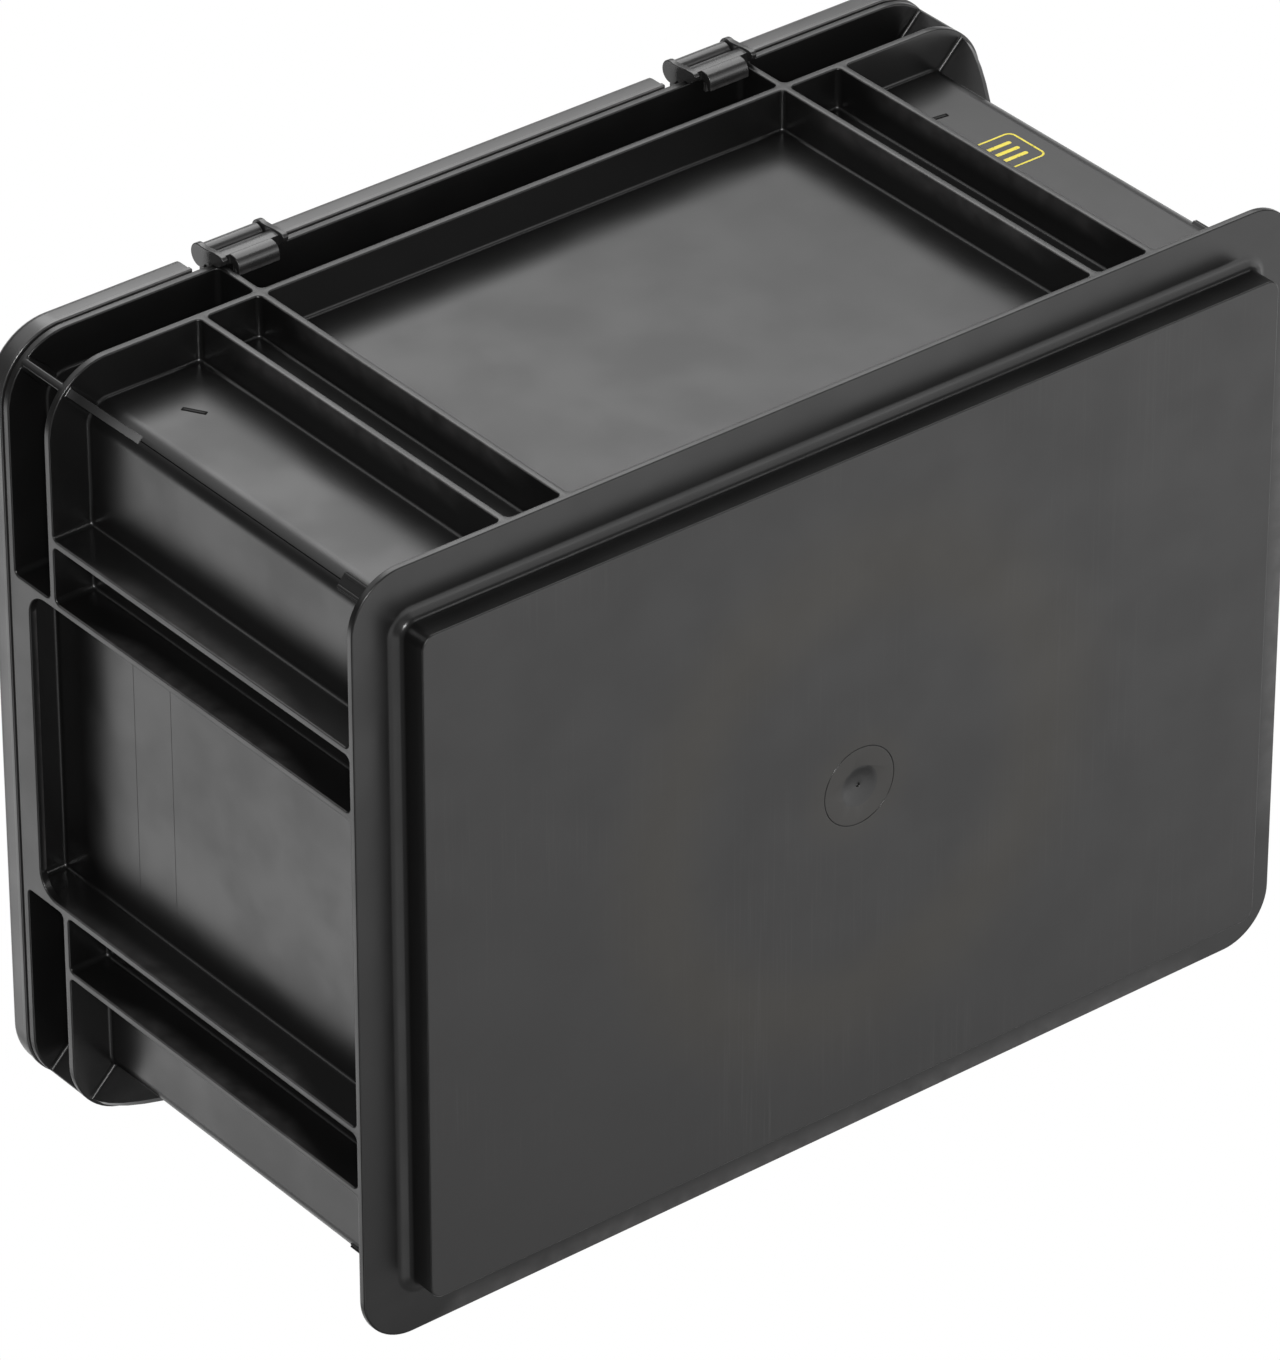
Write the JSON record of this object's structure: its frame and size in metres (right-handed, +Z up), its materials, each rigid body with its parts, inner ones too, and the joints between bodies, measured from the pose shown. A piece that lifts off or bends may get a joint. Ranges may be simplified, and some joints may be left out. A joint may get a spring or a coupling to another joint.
{
  "type": "attached lid tote",
  "caption": "Stacking transport tote in black plastic with outside ribs, a stacking foot, a one-piece lid hinged on clips at the back rim, and snap latches at the front.",
  "frame": {"origin": "centre of the foot plate, at the surface the tote stands on", "axes": "+Z up from the foot to the lid, +X along the long side, +Y towards the hinges; the latches are at -Y"},
  "size_m": [0.401, 0.311, 0.2148],
  "materials": {
    "container_plastic": "satin moulded conductive black",
    "lid_plastic": "satin moulded conductive black",
    "clip_plastic": "smooth moulded black",
    "pin_plastic": "smooth dark rod"
  },
  "bodies": {
    "container": {"container_body": "container_plastic", "hinge_clip_left": "clip_plastic", "hinge_clip_right": "clip_plastic", "hinge_pin_left": "pin_plastic", "hinge_pin_right": "pin_plastic"},
    "lid": {"lid": "lid_plastic", "latch_pin_left": "pin_plastic", "latch_pin_right": "pin_plastic"},
    "latch_left": {"latch_left": "clip_plastic"},
    "latch_right": {"latch_right": "clip_plastic"}
  },
  "joints": [
    {"name": "lid_hinge", "type": "hinge", "parent": "container", "child": "lid", "pos_m": [0, 0.1505, 0.2103], "axis": [-1, 0, 0], "range_deg": [0, 180]},
    {"name": "latch_left_hinge", "type": "hinge", "parent": "lid", "child": "latch_left", "pos_m": [0.1007, -0.1466, 0.2096], "axis": [-1, 0, 0], "range_deg": [0, 110]},
    {"name": "latch_right_hinge", "type": "hinge", "parent": "lid", "child": "latch_right", "pos_m": [-0.1007, -0.1466, 0.2096], "axis": [-1, 0, 0], "range_deg": [0, 110]}
  ]
}
